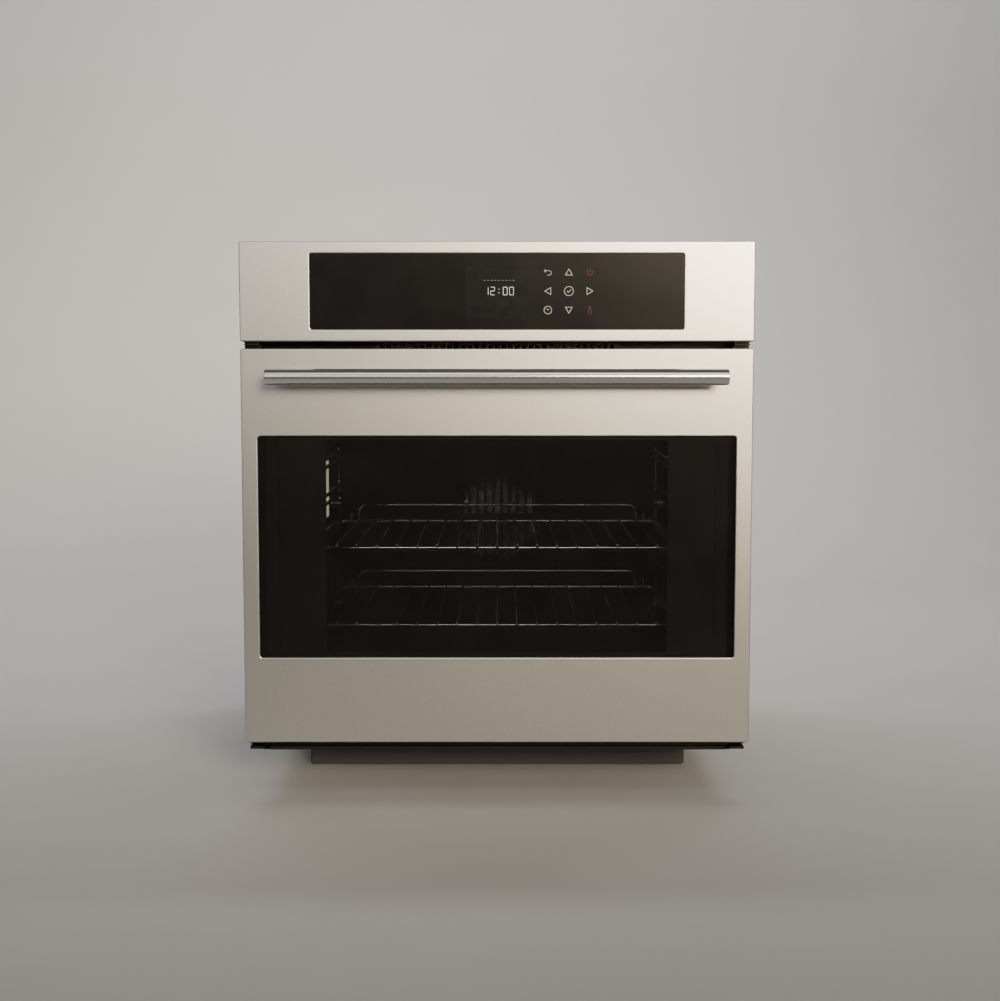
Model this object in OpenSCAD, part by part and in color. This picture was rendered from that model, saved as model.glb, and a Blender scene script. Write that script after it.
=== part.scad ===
// Built-in wall oven of the 600 mm class. A steel drop-down door with a dark window hangs on
// two hinge arms in front of a stepped black frame. Behind it are an enamelled cavity with two
// sliding wire shelves, a hot-air fan in a round recess, heating elements, a cooling blower and
// the touch control panel. Millimetres, +Z up, front facing -Y.
// The origin is at the middle of the bottom face. "Depth" is measured back from the door's
// outer steel face, so depth 0 is the front plane of the oven.

/* [Overall] */
// Width of the visible front
front_width = 595; // [560:1:620]
// Height of the visible front
front_height = 595; // [560:1:620]
// Depth from the front plane to the rearmost point
body_depth = 568; // [540:1:600]
// Thickness of the steel and enamelled sheet
sheet = 1.2; // [0.8:0.1:2]

/* [Control panel] */
// Height of the control panel's steel fascia
fascia_height = 115; // [90:1:130]
// Depth of the fascia's folded edges
fascia_fold = 20; // [12:1:22]
// Width of the opening for the black glass
panel_window_width = 432; // [300:1:500]
// Height of the opening for the black glass
panel_window_height = 87; // [60:1:95]
// Corner radius of that opening
panel_window_corner = 2.5; // [1:0.5:8]
// Width of the display
display_width = 72; // [50:1:100]
// Height of the display
display_height = 58; // [40:1:70]

/* [Door] */
// Width of the door
door_width = 594.5; // [560:0.5:600]
// Height of the door's bottom edge above the oven's bottom
door_bottom = 8.8; // [6:0.1:15]
// Height of the door's top edge above the oven's bottom
door_top = 471.8; // [440:0.1:480]
// Width of the window opening
window_width = 556.3; // [400:0.1:570]
// Height of the window opening's lower edge
window_bottom = 110.2; // [60:0.1:150]
// Height of the window opening's upper edge
window_top = 370.4; // [300:0.1:400]
// Corner radius of the window opening
window_corner = 3; // [1:0.5:10]
// Radius of the handle bar
handle_radius = 9.5; // [6:0.5:15]
// Length of the handle bar
handle_length = 525; // [300:1:560]
// Height of the handle bar's centre line
handle_z = 439.6; // [400:0.1:455]
// Distance of the handle bar's centre line in front of the door
handle_standoff = 45; // [30:0.5:60]
// Distance of each handle post from the middle
handle_post_x = 235; // [150:1:250]

/* [Hinges] */
// Depth of the hinge axis behind the front plane
pivot_depth = 10; // [8:0.5:14]
// Height of the hinge axis
pivot_z = 20; // [16:0.5:30]
// Radius of the hinge pins
pin_radius = 3; // [2:0.5:5]
// Radial running clearance of the pins and shafts
running_gap = 0.05; // [0.02:0.01:0.1]
// Distance of each hinge arm's centre from the middle
hinge_x = 263; // [250:1:265]

/* [Cavity] */
// Inner width of the cavity
cavity_width = 470; // [400:1:480]
// Height of the cavity floor
cavity_floor = 62; // [50:1:80]
// Height of the cavity ceiling
cavity_ceiling = 419; // [380:1:430]
// Depth of the cavity's back wall
cavity_rear = 468; // [420:1:480]
// Height of the lowest shelf level
first_level = 87; // [80:0.5:100]
// Vertical pitch of the shelf levels
level_pitch = 47.5; // [35:0.5:60]
// Number of shelf levels
level_count = 6; // [3:1:6]

/* [Shelves] */
// Level that the lower shelf is on, counted from 0
lower_level = 1; // [0:1:2]
// Level that the upper shelf is on, counted from 0
upper_level = 3; // [2:1:4]
// Radius of the shelf's frame bar
shelf_bar = 2.6; // [2:0.1:4]
// Radius of the shelf's cross wires
shelf_wire = 1.8; // [1:0.1:2.5]
// Number of cross wires
wire_count = 17; // [9:1:25]
// Pitch of the cross wires
wire_pitch = 24.4; // [15:0.05:45]
// Depth of the shelf's front bar
shelf_front = 80; // [60:1:100]
// Depth of the shelf's rear bar
shelf_rear = 430; // [380:1:440]

/* [Hot-air fan] */
// Height of the fan's axis
fan_z = 232; // [200:1:260]
// Radius of the fan's recess in the back wall
recess_radius = 103; // [90:1:120]
// Depth of the recess behind the back wall
recess_depth = 45; // [30:1:60]
// Radius of the fan wheel
fan_radius = 68; // [50:1:80]
// Number of fan blades
fan_blades = 16; // [8:1:24]
// Pitch of the slots in the fan cover
slot_pitch = 11.6; // [8:0.1:16]
// Width of each slot in the fan cover
slot_width = 7.3; // [4:0.1:10]
// Radius of the points of the fan cover's slotted area
slot_field = 67; // [50:1:80]
// Radius of the notches between those points
slot_notch = 53; // [40:1:70]
// Number of those points
slot_points = 7; // [5:1:9]

/* [Hidden] */
$fn = 48;
// Overlap that makes a cut pass right through
cut = 1;

handle_reach = handle_standoff + handle_radius;
front_y = handle_reach - (body_depth + handle_reach) / 2;

// Control panel
fascia_z0 = front_height - fascia_height;
panel_z = fascia_z0 + fascia_height / 2;
panel_lip = 1.8;
panel_glass = 3;
panel_glass_rim = 2;
display_z = 536;
housing_half = 208;
housing_z0 = 492;
housing_z1 = 577;
housing_front = panel_lip + panel_glass;
housing_rear = 42;
board_depth = 16;

// Front frame
flange_depth = 22;
flange_half = 295;
pocket_half = 277;
frame_bottom = 3;
frame_top = 592;
pocket_top = 478;
pocket_depth = 46;
panel_back = pocket_depth + sheet;
screw_x = 286;
screw_z = [90, 400];
screw_hole = 2.3;
outlet_half = 140;
outlet_z0 = 452;
outlet_z1 = 477;
bar_half = 268;

// Chassis
chassis_half = 278.2;
chassis_top = 583;
chassis_rear = 560;
deck_z = 449.5;
rail_z = 34;

// Cavity
cavity_half = cavity_width / 2;
cavity_mid_z = (cavity_floor + cavity_ceiling) / 2;
cavity_corner = 10;
insulation_half = 262;
lamp_d = [328, 366];
lamp_z = [243, 325];
lamp_rim = 5;
lamp_reach = 1;

// Door stack
door_half = door_width / 2;
door_fold = 20;
door_fold_low = 13;
window_mid_z = (window_bottom + window_top) / 2;
window_height = window_top - window_bottom;
window_lip = 3;
front_glass_rim = 3;
pane = 4;
profile_front = window_lip + pane;
mid_glass_depth = 18;
inner_glass_depth = 36;
inner_glass_half = 253.5;
inner_glass_z0 = 45;
inner_glass_z1 = 436;
profile_rear = 42;
profile_z0 = 32;
profile_z1 = 468;
profile_in = 254.8;
profile_out = 271.2;

// Hinges
arm_width = 6;
arm_half_height = 7.5;
arm_rear = 92;
boss_radius = 7;
cheek = 2;
cheek_in = hinge_x - 7;
cheek_out = hinge_x + 7;
cheek_top = 250;

// Shelves and racks
shelf_half = 221;
shelf_corner = 24;
cross_bar = shelf_bar - 0.3;
wire_rise = shelf_bar + shelf_wire - 0.5;
stop_height = 23;
stop_half = 197.2;
stop_corner = 10;
rung_x = 223;
rung_radius = 2.5;
rung_rise = 5.4;
rung_front = 62;
rung_rear = 454;
rack_post_x = 227.6;
rack_posts = [250, 442];
rung_bend = 6;
front_post = 2.8;
front_post_x = rung_x + rung_bend;
level = [for (i = [0 : level_count - 1]) first_level + i * level_pitch];
rack_span = [first_level - 12, level[level_count - 1] + 12];

// Fans
fan_front = cavity_rear + 8;
fan_rear = cavity_rear + 32;
recess_rear = cavity_rear + recess_depth;
shaft_radius = 4;
blower_depth = 335;
duct_rear = 300;
blower_radius = 76;
wheel_radius = 56;
wheel_z0 = 456;
wheel_z1 = 494;
blower_top = 500;
blower_shaft = 3;

// ---------------------------------------------------------------- shared shapes

// Puts depth 0 on the oven's front plane
module at_front()
    translate([0, front_y, 0])
        children();

// Repeats its shape on the other side of the middle plane
module both_sides() {
    children();
    mirror([1, 0, 0])
        children();
}

module block(x, d, z)
    translate([x[0], d[0], z[0]])
        cube([x[1] - x[0], d[1] - d[0], z[1] - z[0]]);

module rod_x(x, d, z, r)
    translate([x[0], d, z])
        rotate([0, 90, 0])
            cylinder(h = x[1] - x[0], r = r);

module rod_y(x, d, z, r)
    translate([x, d[0], z])
        rotate([-90, 0, 0])
            cylinder(h = d[1] - d[0], r = r);

module rod_z(x, d, z, r)
    translate([x, d, z[0]])
        cylinder(h = z[1] - z[0], r = r);

module rounded_rect(w, h, r) {
    square([w - 2 * r, h], center = true);
    square([w, h - 2 * r], center = true);
    for (x = [-1, 1], y = [-1, 1])
        translate([x * (w / 2 - r), y * (h / 2 - r)])
            circle(r);
}

// Upright plate in the width and height directions, from depth d[0] to d[1]
module plate(w, h, r, d, z)
    translate([0, d[1], z])
        rotate([90, 0, 0])
            linear_extrude(d[1] - d[0])
                rounded_rect(w, h, r);

// Bend of a round bar: bend radius, bar radius, start angle and swept angle in the XY plane
module bar_bend(bend, r, start, sweep)
    rotate([0, 0, start])
        rotate_extrude(angle = sweep)
            translate([bend, 0])
                circle(r);

// Closed loop of round bar lying flat, centred on the origin
module bar_loop(half_x, half_y, corner, r) {
    for (s = [-1, 1]) {
        rod_x([-half_x + corner, half_x - corner], s * half_y, 0, r);
        rod_y(s * half_x, [-half_y + corner, half_y - corner], 0, r);
    }
    translate([half_x - corner, half_y - corner, 0])
        bar_bend(corner, r, 0, 90);
    translate([-half_x + corner, half_y - corner, 0])
        bar_bend(corner, r, 90, 90);
    translate([-half_x + corner, -half_y + corner, 0])
        bar_bend(corner, r, 180, 90);
    translate([half_x - corner, -half_y + corner, 0])
        bar_bend(corner, r, 270, 90);
}

// ---------------------------------------------------------------- chassis

module base_panel()
    color("silver") at_front() difference() {
        union() {
            block([-pocket_half, pocket_half], [panel_back, chassis_rear], [0, sheet]);
            both_sides()
                block([pocket_half - sheet, pocket_half], [panel_back, chassis_rear], [0, 14]);
        }
        for (i = [-4 : 4])
            block([i * 40 - 12, i * 40 + 12], [500, 506], [-cut, sheet + cut]);
    }

module base_rails()
    color("silver") at_front() both_sides() difference() {
        block([180, 210], [60, 540], [sheet, rail_z]);
        block([180 + sheet, 210 - sheet], [60 - cut, 540 + cut], [sheet - cut, rail_z - sheet]);
    }

module side_panel()
    difference() {
        union() {
            block([pocket_half, chassis_half], [flange_depth + sheet, chassis_rear],
                  [0, chassis_top]);
            for (d = [160, 300])
                block([chassis_half, chassis_half + 1.5], [d, d + 30], [60, 400]);
        }
        for (d = [160, 300])
            block([pocket_half - cut, pocket_half + 1.5], [d + sheet, d + 30 - sheet],
                  [60 + sheet, 400 - sheet]);
        for (i = [0 : 7])
            block([pocket_half - cut, chassis_half + cut], [420 + i * 14, 426 + i * 14],
                  [490, 540]);
    }

module side_panel_left()
    color("silver") at_front() mirror([1, 0, 0]) side_panel();

module side_panel_right()
    color("silver") at_front() side_panel();

module back_panel()
    color("silver") at_front() difference() {
        block([-chassis_half, chassis_half], [chassis_rear, chassis_rear + sheet],
              [0, chassis_top + sheet]);
        rod_y(-200, [chassis_rear - cut, chassis_rear + sheet + cut], 510, 8);
        for (i = [-6 : 6])
            block([i * 16 - 4, i * 16 + 4], [chassis_rear - cut, chassis_rear + sheet + cut],
                  [fan_z - 60, fan_z + 60]);
        for (i = [-8 : 8])
            block([i * 16 + 58, i * 16 + 66], [chassis_rear - cut, chassis_rear + sheet + cut],
                  [500, 550]);
    }

module top_cover()
    color("silver") at_front() difference() {
        union() {
            block([-chassis_half, chassis_half], [flange_depth + sheet, chassis_rear],
                  [chassis_top, chassis_top + sheet]);
            for (d = [110, 440])
                block([-220, 220], [d, d + 30], [chassis_top + sheet, chassis_top + 2.5]);
        }
        for (d = [110, 440])
            block([-220 + sheet, 220 - sheet], [d + sheet, d + 30 - sheet],
                  [chassis_top - cut, chassis_top + 1.3]);
        for (i = [-7 : 7])
            block([i * 16 - 4, i * 16 + 4], [270, 390], [chassis_top - cut, chassis_top + 5]);
    }

module cooling_deck()
    color("silver") at_front()
        block([-pocket_half, pocket_half], [panel_back, chassis_rear], [deck_z, deck_z + sheet]);

// Heads of the identical screws of the back panel and of the fan cover
module panel_screws()
    color("gray") at_front() {
        both_sides() for (x = [120, 268], z = [30, 300, 560])
            rod_y(x, [chassis_rear + sheet, chassis_rear + sheet + 2.5], z, 4);
        for (a = [45, 135, 225, 315])
            translate([0, 0, fan_z])
                rotate([0, a, 0])
                    rod_y(recess_radius + 10, [cavity_rear - sheet - 2.5, cavity_rear - sheet],
                          0, 4);
    }

// ---------------------------------------------------------------- front frame

module frame_sheets() {
    both_sides() {
        block([pocket_half, flange_half], [flange_depth, flange_depth + sheet],
              [frame_bottom, pocket_top]);
        block([pocket_half - sheet, pocket_half], [flange_depth, panel_back],
              [frame_bottom, pocket_top]);
    }
    block([-flange_half, flange_half], [flange_depth, flange_depth + sheet],
          [pocket_top, frame_top]);
    block([-pocket_half, pocket_half], [pocket_depth, panel_back], [frame_bottom, pocket_top]);
    block([-pocket_half, pocket_half], [flange_depth, panel_back],
          [pocket_top, pocket_top + sheet]);
    block([-pocket_half, pocket_half], [flange_depth, panel_back],
          [frame_bottom, frame_bottom + sheet]);
}

module front_frame()
    color([0.06, 0.06, 0.06]) at_front() difference() {
        frame_sheets();
        plate(cavity_width, cavity_ceiling - cavity_floor, cavity_corner,
              [pocket_depth - cut, panel_back + cut], cavity_mid_z);
        block([-outlet_half, outlet_half], [pocket_depth - cut, panel_back + cut],
              [outlet_z0, outlet_z1]);
        block([-housing_half, housing_half], [flange_depth - cut, flange_depth + sheet + cut],
              [housing_z0, housing_z1]);
        both_sides() {
            block([hinge_x - 5, hinge_x + 5], [pocket_depth - cut, panel_back + cut],
                  [pivot_z - 9, pivot_z + 9]);
            for (z = screw_z)
                rod_y(screw_x, [flange_depth - cut, flange_depth + sheet + cut], z, screw_hole);
        }
    }

module bottom_trim()
    color([0.05, 0.05, 0.05]) at_front() {
        plate_edge = 3;
        block([-pocket_half + sheet, pocket_half - sheet], [plate_edge, panel_back - sheet],
              [0, sheet]);
        block([-pocket_half + sheet, pocket_half - sheet], [flange_depth, pocket_depth],
              [sheet, frame_bottom]);
        block([-bar_half, bar_half], [0.5, plate_edge + 0.5], [0.3, 4]);
        both_sides() {
            block([bar_half - 6, bar_half], [plate_edge, 12], [sheet - 0.5, 3.4]);
            block([pocket_half - sheet, flange_half - 3], [5, flange_depth + sheet],
                  [0, frame_bottom]);
        }
    }

module air_outlet_grille()
    color([0.05, 0.05, 0.05]) at_front() difference() {
        block([-outlet_half - 4, outlet_half + 4], [pocket_depth - 3, pocket_depth],
              [outlet_z0 - 4, pocket_top]);
        for (i = [-17 : 17])
            block([i * 8 - 2.5, i * 8 + 2.5], [pocket_depth - 3 - cut, pocket_depth + cut],
                  [outlet_z0, outlet_z1]);
    }

module door_gasket()
    color([0.1, 0.1, 0.1]) at_front()
        translate([0, pocket_depth - 2.85, cavity_mid_z])
            rotate([90, 0, 0])
                bar_loop(cavity_half + 8, (cavity_ceiling - cavity_floor) / 2 + 8, 18, 2.85);

// ---------------------------------------------------------------- cavity

module cavity_wrapper()
    color([0.1, 0.1, 0.11]) at_front() difference() {
        union() {
            plate(cavity_width + 2 * sheet, cavity_ceiling - cavity_floor + 2 * sheet,
                  cavity_corner + sheet, [panel_back, cavity_rear], cavity_mid_z);
            plate(cavity_width + 14, cavity_ceiling - cavity_floor + 14, cavity_corner + 7,
                  [panel_back, panel_back + sheet], cavity_mid_z);
        }
        plate(cavity_width, cavity_ceiling - cavity_floor, cavity_corner,
              [panel_back - cut, cavity_rear + cut], cavity_mid_z);
        block([-cavity_half - 5, -cavity_half + 5], lamp_d, lamp_z);
    }

module cavity_back()
    color([0.1, 0.1, 0.11]) at_front() difference() {
        union() {
            plate(cavity_width + 2 * sheet, cavity_ceiling - cavity_floor + 2 * sheet,
                  cavity_corner + sheet, [cavity_rear, cavity_rear + sheet], cavity_mid_z);
            rod_y(0, [cavity_rear, recess_rear], fan_z, recess_radius + sheet);
        }
        rod_y(0, [cavity_rear - cut, recess_rear - sheet], fan_z, recess_radius);
        rod_y(0, [cavity_rear - cut, recess_rear + cut], fan_z, 6);
        for (x = [-9, 9])
            rod_y(x, [cavity_rear + 5, recess_rear + cut], fan_z - 91.5, 2.4);
        for (x = [-200, 200])
            rod_y(x, [cavity_rear - cut, cavity_rear + sheet + cut], 403, 3.2);
        rod_y(180, [cavity_rear - cut, cavity_rear + sheet + cut], 380, 2.5);
    }

module wall_blanket()
    difference() {
        block([-insulation_half, insulation_half], [50, cavity_rear - 2], [rail_z, deck_z]);
        block([-240, 240], [50 - cut, cavity_rear], [50, 423]);
        block([-243, 243], [50 - cut, 52], [50, 428]);
        block([-insulation_half - cut, -235], [lamp_d[0] - 6, lamp_d[1] + 6],
              [lamp_z[0] - 6, lamp_z[1] + 6]);
    }

module rear_blanket()
    difference() {
        block([-236, 236], [cavity_rear + sheet, cavity_rear + 36], [62, 420]);
        rod_y(0, [cavity_rear, cavity_rear + 40], fan_z, recess_radius + 4);
        for (x = [-200, 200])
            rod_y(x, [cavity_rear, cavity_rear + 40], 403, 10);
        rod_y(180, [cavity_rear, cavity_rear + 40], 380, 9);
    }

module insulation()
    color([0.85, 0.8, 0.55]) at_front() {
        wall_blanket();
        rear_blanket();
    }

// Pair of rungs, between which a shelf slides, bent outwards to the front post
module rung_pair(z)
    for (s = [-1, 1]) {
        rod_y(rung_x, [rung_front, rung_rear], z + s * rung_rise, rung_radius);
        translate([rung_x + rung_bend, rung_front, z + s * rung_rise])
            bar_bend(rung_bend, rung_radius, 180, 90);
    }

module side_rack() {
    for (z = level)
        rung_pair(z);
    for (d = rack_posts)
        rod_z(rack_post_x, d, rack_span, rung_radius);
    rod_z(front_post_x, rung_front - rung_bend, rack_span, front_post);
}

module side_rack_left()
    color("silver") at_front() mirror([1, 0, 0]) side_rack();

module side_rack_right()
    color("silver") at_front() side_rack();

module rack_stud(x, d, z, r)
    difference() {
        union() {
            rod_x([cavity_half - 3.2, cavity_half], d, z, 6);
            rod_x([x - 3, cavity_half - 3.2], d, z, 4.5);
        }
        rod_z(x, d, [z - 10, z + 10], r);
    }

module side_rack_studs()
    color("silver") at_front() both_sides() for (z = [110, 254]) {
        rack_stud(front_post_x, rung_front - rung_bend, z, front_post);
        rack_stud(rack_post_x, rack_posts[1], z, rung_radius);
    }

module grill_element()
    color([0.25, 0.22, 0.2]) at_front() {
        for (i = [0 : 5])
            rod_y(i * 80 - 200, [110, i == 0 || i == 5 ? 490 : 400], 403, 3.2);
        for (x = [-160, 0, 160])
            translate([x, 110, 403])
                bar_bend(40, 3.2, 180, 180);
        for (x = [-80, 80])
            translate([x, 400, 403])
                bar_bend(40, 3.2, 0, 180);
        for (x = [-120, 120], d = [160, 360])
            block([x - 6, x + 6], [d - 1, d + 1], [400, cavity_ceiling]);
    }

module bottom_element()
    color([0.25, 0.22, 0.2]) at_front() {
        for (i = [0 : 3])
            rod_y(i * 80 - 120, [130, i == 0 || i == 3 ? 500 : 380], 55.5, 3.2);
        for (x = [-80, 80])
            translate([x, 130, 55.5])
                bar_bend(40, 3.2, 180, 180);
        translate([0, 380, 55.5])
            bar_bend(40, 3.2, 0, 180);
        for (x = [-120, 120], d = [180, 420])
            rod_z(x, d, [50, 55.5], 2);
    }

module temperature_probe()
    color("silver") at_front() {
        rod_y(180, [390, cavity_rear + 20], 380, 2.5);
        rod_y(180, [cavity_rear - 2, cavity_rear], 380, 8);
    }

module lamp_housing()
    color("silver") at_front() difference() {
        union() {
            block([-260, -cavity_half - sheet], [lamp_d[0], lamp_d[1]], [lamp_z[0], lamp_z[1]]);
            block([-cavity_half - 2.4, -cavity_half - sheet],
                  [lamp_d[0] - lamp_rim, lamp_d[1] + lamp_rim],
                  [lamp_z[0] - lamp_rim, lamp_z[1] + lamp_rim]);
        }
        block([-260 + sheet, -cavity_half], [lamp_d[0] + sheet, lamp_d[1] - sheet],
              [lamp_z[0] + sheet, lamp_z[1] - sheet]);
    }

module lamp_glass()
    color([0.9, 0.9, 0.85]) at_front() difference() {
        block([-cavity_half - sheet, -cavity_half + lamp_reach], lamp_d, lamp_z);
        block([-cavity_half - 3, -cavity_half - 0.5], [lamp_d[0] + 4, lamp_d[1] - 4],
              [lamp_z[0] + 4, lamp_z[1] - 4]);
    }

module lamp_bulb()
    color([0.95, 0.9, 0.7]) at_front() {
        rod_z(-247, 347, [lamp_z[0] + sheet, 264], 7);
        rod_z(-247, 347, [264, 292], 5);
        translate([-247, 347, 292])
            sphere(5);
    }

// ---------------------------------------------------------------- hot air

// Outline of the slotted area: swept points round the fan's axis
module pinwheel()
    polygon([for (k = [0 : slot_points - 1], s = [0, 1])
        let (a = 88 + k * 360 / slot_points + s * 9, r = s == 0 ? slot_field : slot_notch)
            [r * cos(a), r * sin(a)]]);

module fan_cover_slots()
    intersection() {
        translate([0, cavity_rear - 8, fan_z])
            rotate([90, 0, 0])
                linear_extrude(6)
                    pinwheel();
        for (i = [-5 : 5], z = [[-70, -6.5], [6.5, 70]])
            block([i * slot_pitch - slot_width / 2, i * slot_pitch + slot_width / 2],
                  [cavity_rear - 14, cavity_rear - 8], [fan_z + z[0], fan_z + z[1]]);
    }

module rear_fan_cover()
    color([0.12, 0.12, 0.12]) at_front() difference() {
        union() {
            rod_y(0, [cavity_rear - 12, cavity_rear], fan_z, recess_radius + 2);
            for (a = [45, 135, 225, 315])
                translate([0, 0, fan_z])
                    rotate([0, a, 0])
                        block([recess_radius, recess_radius + 16], [cavity_rear - sheet, cavity_rear],
                              [-7, 7]);
        }
        rod_y(0, [cavity_rear - 12 + sheet, cavity_rear + cut], fan_z, recess_radius + 0.8);
        fan_cover_slots();
        for (a = [0 : 15 : 345])
            translate([0, 0, fan_z])
                rotate([0, a, 0])
                    block([recess_radius - 5, recess_radius + 5], [cavity_rear - 8, cavity_rear - 3],
                          [-7, 7]);
    }

module ring_heater()
    color([0.25, 0.22, 0.2]) at_front() {
        for (s = [-1, 1])
            translate([0, cavity_rear + 18 + s * 5, fan_z])
                rotate([90, 0, 0])
                    rotate_extrude()
                        translate([92, 0])
                            circle(3.3);
        rod_y(-9, [cavity_rear + 13, recess_rear + 14], fan_z - 91.5, 2.4);
        rod_y(9, [cavity_rear + 23, recess_rear + 14], fan_z - 91.5, 2.4);
    }

module convection_fan()
    color("silver") at_front() {
        rod_y(0, [fan_rear - sheet, fan_rear], fan_z, fan_radius);
        rod_y(0, [fan_front, fan_rear - sheet], fan_z, 10);
        rod_y(0, [fan_front - 6, 552], fan_z, shaft_radius);
        for (i = [0 : fan_blades - 1])
            translate([0, 0, fan_z])
                rotate([0, i * 360 / fan_blades, 0])
                    block([9, fan_radius - 2], [fan_front, fan_rear - sheet], [-0.6, 0.6]);
    }

module convection_motor()
    color([0.4, 0.4, 0.42]) at_front() difference() {
        union() {
            rod_y(0, [recess_rear, recess_rear + sheet], fan_z, 40);
            rod_y(0, [recess_rear, 524], fan_z, 14);
            block([-34, 34], [524, 548], [fan_z - 28, fan_z + 28]);
            block([-24, 24], [520, 554], [fan_z - 40, fan_z - 16]);
            rod_y(0, [548, 556], fan_z, 14);
        }
        rod_y(0, [recess_rear - cut, 553], fan_z, shaft_radius + running_gap);
    }

// ---------------------------------------------------------------- cooling air and electronics

module air_duct()
    color("silver") at_front() difference() {
        block([-outlet_half - 6, outlet_half + 6], [panel_back, duct_rear],
              [deck_z + sheet, pocket_top]);
        block([-outlet_half, outlet_half], [panel_back - cut, duct_rear - sheet],
              [deck_z + sheet - cut, pocket_top - sheet]);
        rod_z(0, blower_depth, [deck_z, blower_top], blower_radius);
    }

module blower_housing()
    color("silver") at_front() difference() {
        rod_z(0, blower_depth, [deck_z + sheet, blower_top], blower_radius);
        rod_z(0, blower_depth, [deck_z + 2 * sheet, blower_top - sheet], blower_radius - sheet);
        rod_z(0, blower_depth, [blower_top - 5, blower_top + cut], 40);
        block([-50, 50], [250, 300], [deck_z + 2 * sheet, pocket_top - sheet]);
    }

module blower_wheel()
    color([0.2, 0.2, 0.2]) at_front() translate([0, blower_depth, 0]) {
        translate([0, 0, wheel_z0])
            cylinder(h = sheet, r = wheel_radius);
        translate([0, 0, wheel_z0])
            cylinder(h = 20, r = 8);
        translate([0, 0, wheel_z0])
            cylinder(h = 72, r = blower_shaft);
        for (i = [0 : 23])
            rotate([0, 0, i * 15])
                translate([wheel_radius - 14, -0.5, wheel_z0])
                    cube([13, 1, wheel_z1 - wheel_z0]);
    }

module blower_motor()
    color([0.4, 0.4, 0.42]) at_front() difference() {
        union() {
            block([-74, 74], [blower_depth - 9, blower_depth + 9], [blower_top, blower_top + 2]);
            rod_z(0, blower_depth, [blower_top + 2, 540], 28);
            block([-30, 30], [blower_depth - 26, blower_depth + 26], [508, 530]);
        }
        rod_z(0, blower_depth, [blower_top - cut, 530], blower_shaft + running_gap);
    }

module main_board()
    color([0.05, 0.3, 0.15]) at_front() {
        difference() {
            block([150, 260], [360, 500], [deck_z + sheet, deck_z + 14]);
            block([152, 258], [362, 498], [deck_z + sheet + 2, deck_z + 15]);
        }
        for (x = [160, 250], d = [370, 490])
            rod_z(x, d, [deck_z + sheet + 1, deck_z + 8], 3);
        block([154, 256], [364, 496], [deck_z + 8, deck_z + 9.6]);
        for (i = [0 : 4])
            block([162 + i * 18, 176 + i * 18], [372, 400], [deck_z + 9.6, deck_z + 25]);
        block([170, 210], [430, 470], [deck_z + 9.6, deck_z + 40]);
        rod_z(235, 450, [deck_z + 9.6, deck_z + 36], 9);
    }

module terminal_block()
    color([0.9, 0.9, 0.85]) at_front() difference() {
        block([-240, -170], [500, 535], [deck_z + sheet, deck_z + 24]);
        for (i = [0 : 4])
            rod_z(-229 + i * 12, 517, [deck_z + 8, deck_z + 25], 3.5);
    }

module cable_gland()
    color([0.1, 0.1, 0.1]) at_front() difference() {
        union() {
            rod_y(-200, [chassis_rear + sheet, body_depth], 510, 13);
            rod_y(-200, [chassis_rear - 12, chassis_rear + sheet], 510, 8);
            rod_y(-200, [chassis_rear - 7, chassis_rear], 510, 12);
        }
        rod_y(-200, [chassis_rear - 20, body_depth + cut], 510, 5);
    }

// ---------------------------------------------------------------- control panel

module control_fascia()
    color([0.75, 0.74, 0.7]) at_front() difference() {
        block([-front_width / 2, front_width / 2], [0, fascia_fold], [fascia_z0, front_height]);
        difference() {
            block([-front_width / 2 + sheet, front_width / 2 - sheet], [sheet, fascia_fold + cut],
                  [fascia_z0 + sheet, front_height - sheet]);
            plate(panel_window_width + 2 * sheet, panel_window_height + 2 * sheet,
                  panel_window_corner + sheet, [0, panel_lip], panel_z);
        }
        plate(panel_window_width, panel_window_height, panel_window_corner, [-cut, 5], panel_z);
    }

module control_glass()
    color([0.02, 0.02, 0.02]) at_front()
        plate(panel_window_width + 2 * panel_glass_rim, panel_window_height + 2 * panel_glass_rim,
              panel_window_corner, [panel_lip, housing_front], panel_z);

module control_housing()
    color([0.15, 0.15, 0.15]) at_front() difference() {
        block([-housing_half, housing_half], [housing_front, housing_rear], [housing_z0 + 2.5, housing_z1]);
        block([-housing_half + 2, housing_half - 2], [housing_front - cut, housing_rear - 2],
              [housing_z0 + 4.5, housing_z1 - 2]);
    }

module display_module()
    color([0.05, 0.05, 0.06]) at_front()
        block([-display_width / 2, display_width / 2], [housing_front, board_depth],
              [display_z - display_height / 2, display_z + display_height / 2]);

module control_board()
    color([0.05, 0.3, 0.15]) at_front() {
        block([-200, 200], [board_depth, board_depth + 1.6], [498, 573]);
        for (x = [-190, 190], z = [504, 567])
            rod_y(x, [board_depth + 1.6, housing_rear - 2], z, 3);
        for (x = [58.8, 83, 107.2], z = [516.1, 537.9, 559.6])
            rod_y(x, [housing_front, board_depth], z, 4);
        block([-150, -100], [board_depth + 1.6, board_depth + 12], [520, 550]);
        block([60, 120], [board_depth + 1.6, board_depth + 8], [515, 555]);
    }

module panel_end_brackets()
    color([0.7, 0.7, 0.68]) at_front() both_sides() {
        block([275.8, 294], [4, flange_depth], [476, 477.2]);
        block([275.8, 277], [4, flange_depth], [477.2, fascia_z0]);
        block([275.8, 294], [4, fascia_fold], [fascia_z0 - 1, fascia_z0]);
    }

// ---------------------------------------------------------------- hinges

module hinge_receivers()
    color("silver") at_front() both_sides() difference() {
        block([hinge_x - 6, hinge_x + 6], [panel_back, arm_rear + 6], [pivot_z - 11, pivot_z + 11]);
        block([hinge_x - arm_width / 2, hinge_x + arm_width / 2], [panel_back - cut, arm_rear],
              [pivot_z - arm_half_height, pivot_z + arm_half_height]);
    }

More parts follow.
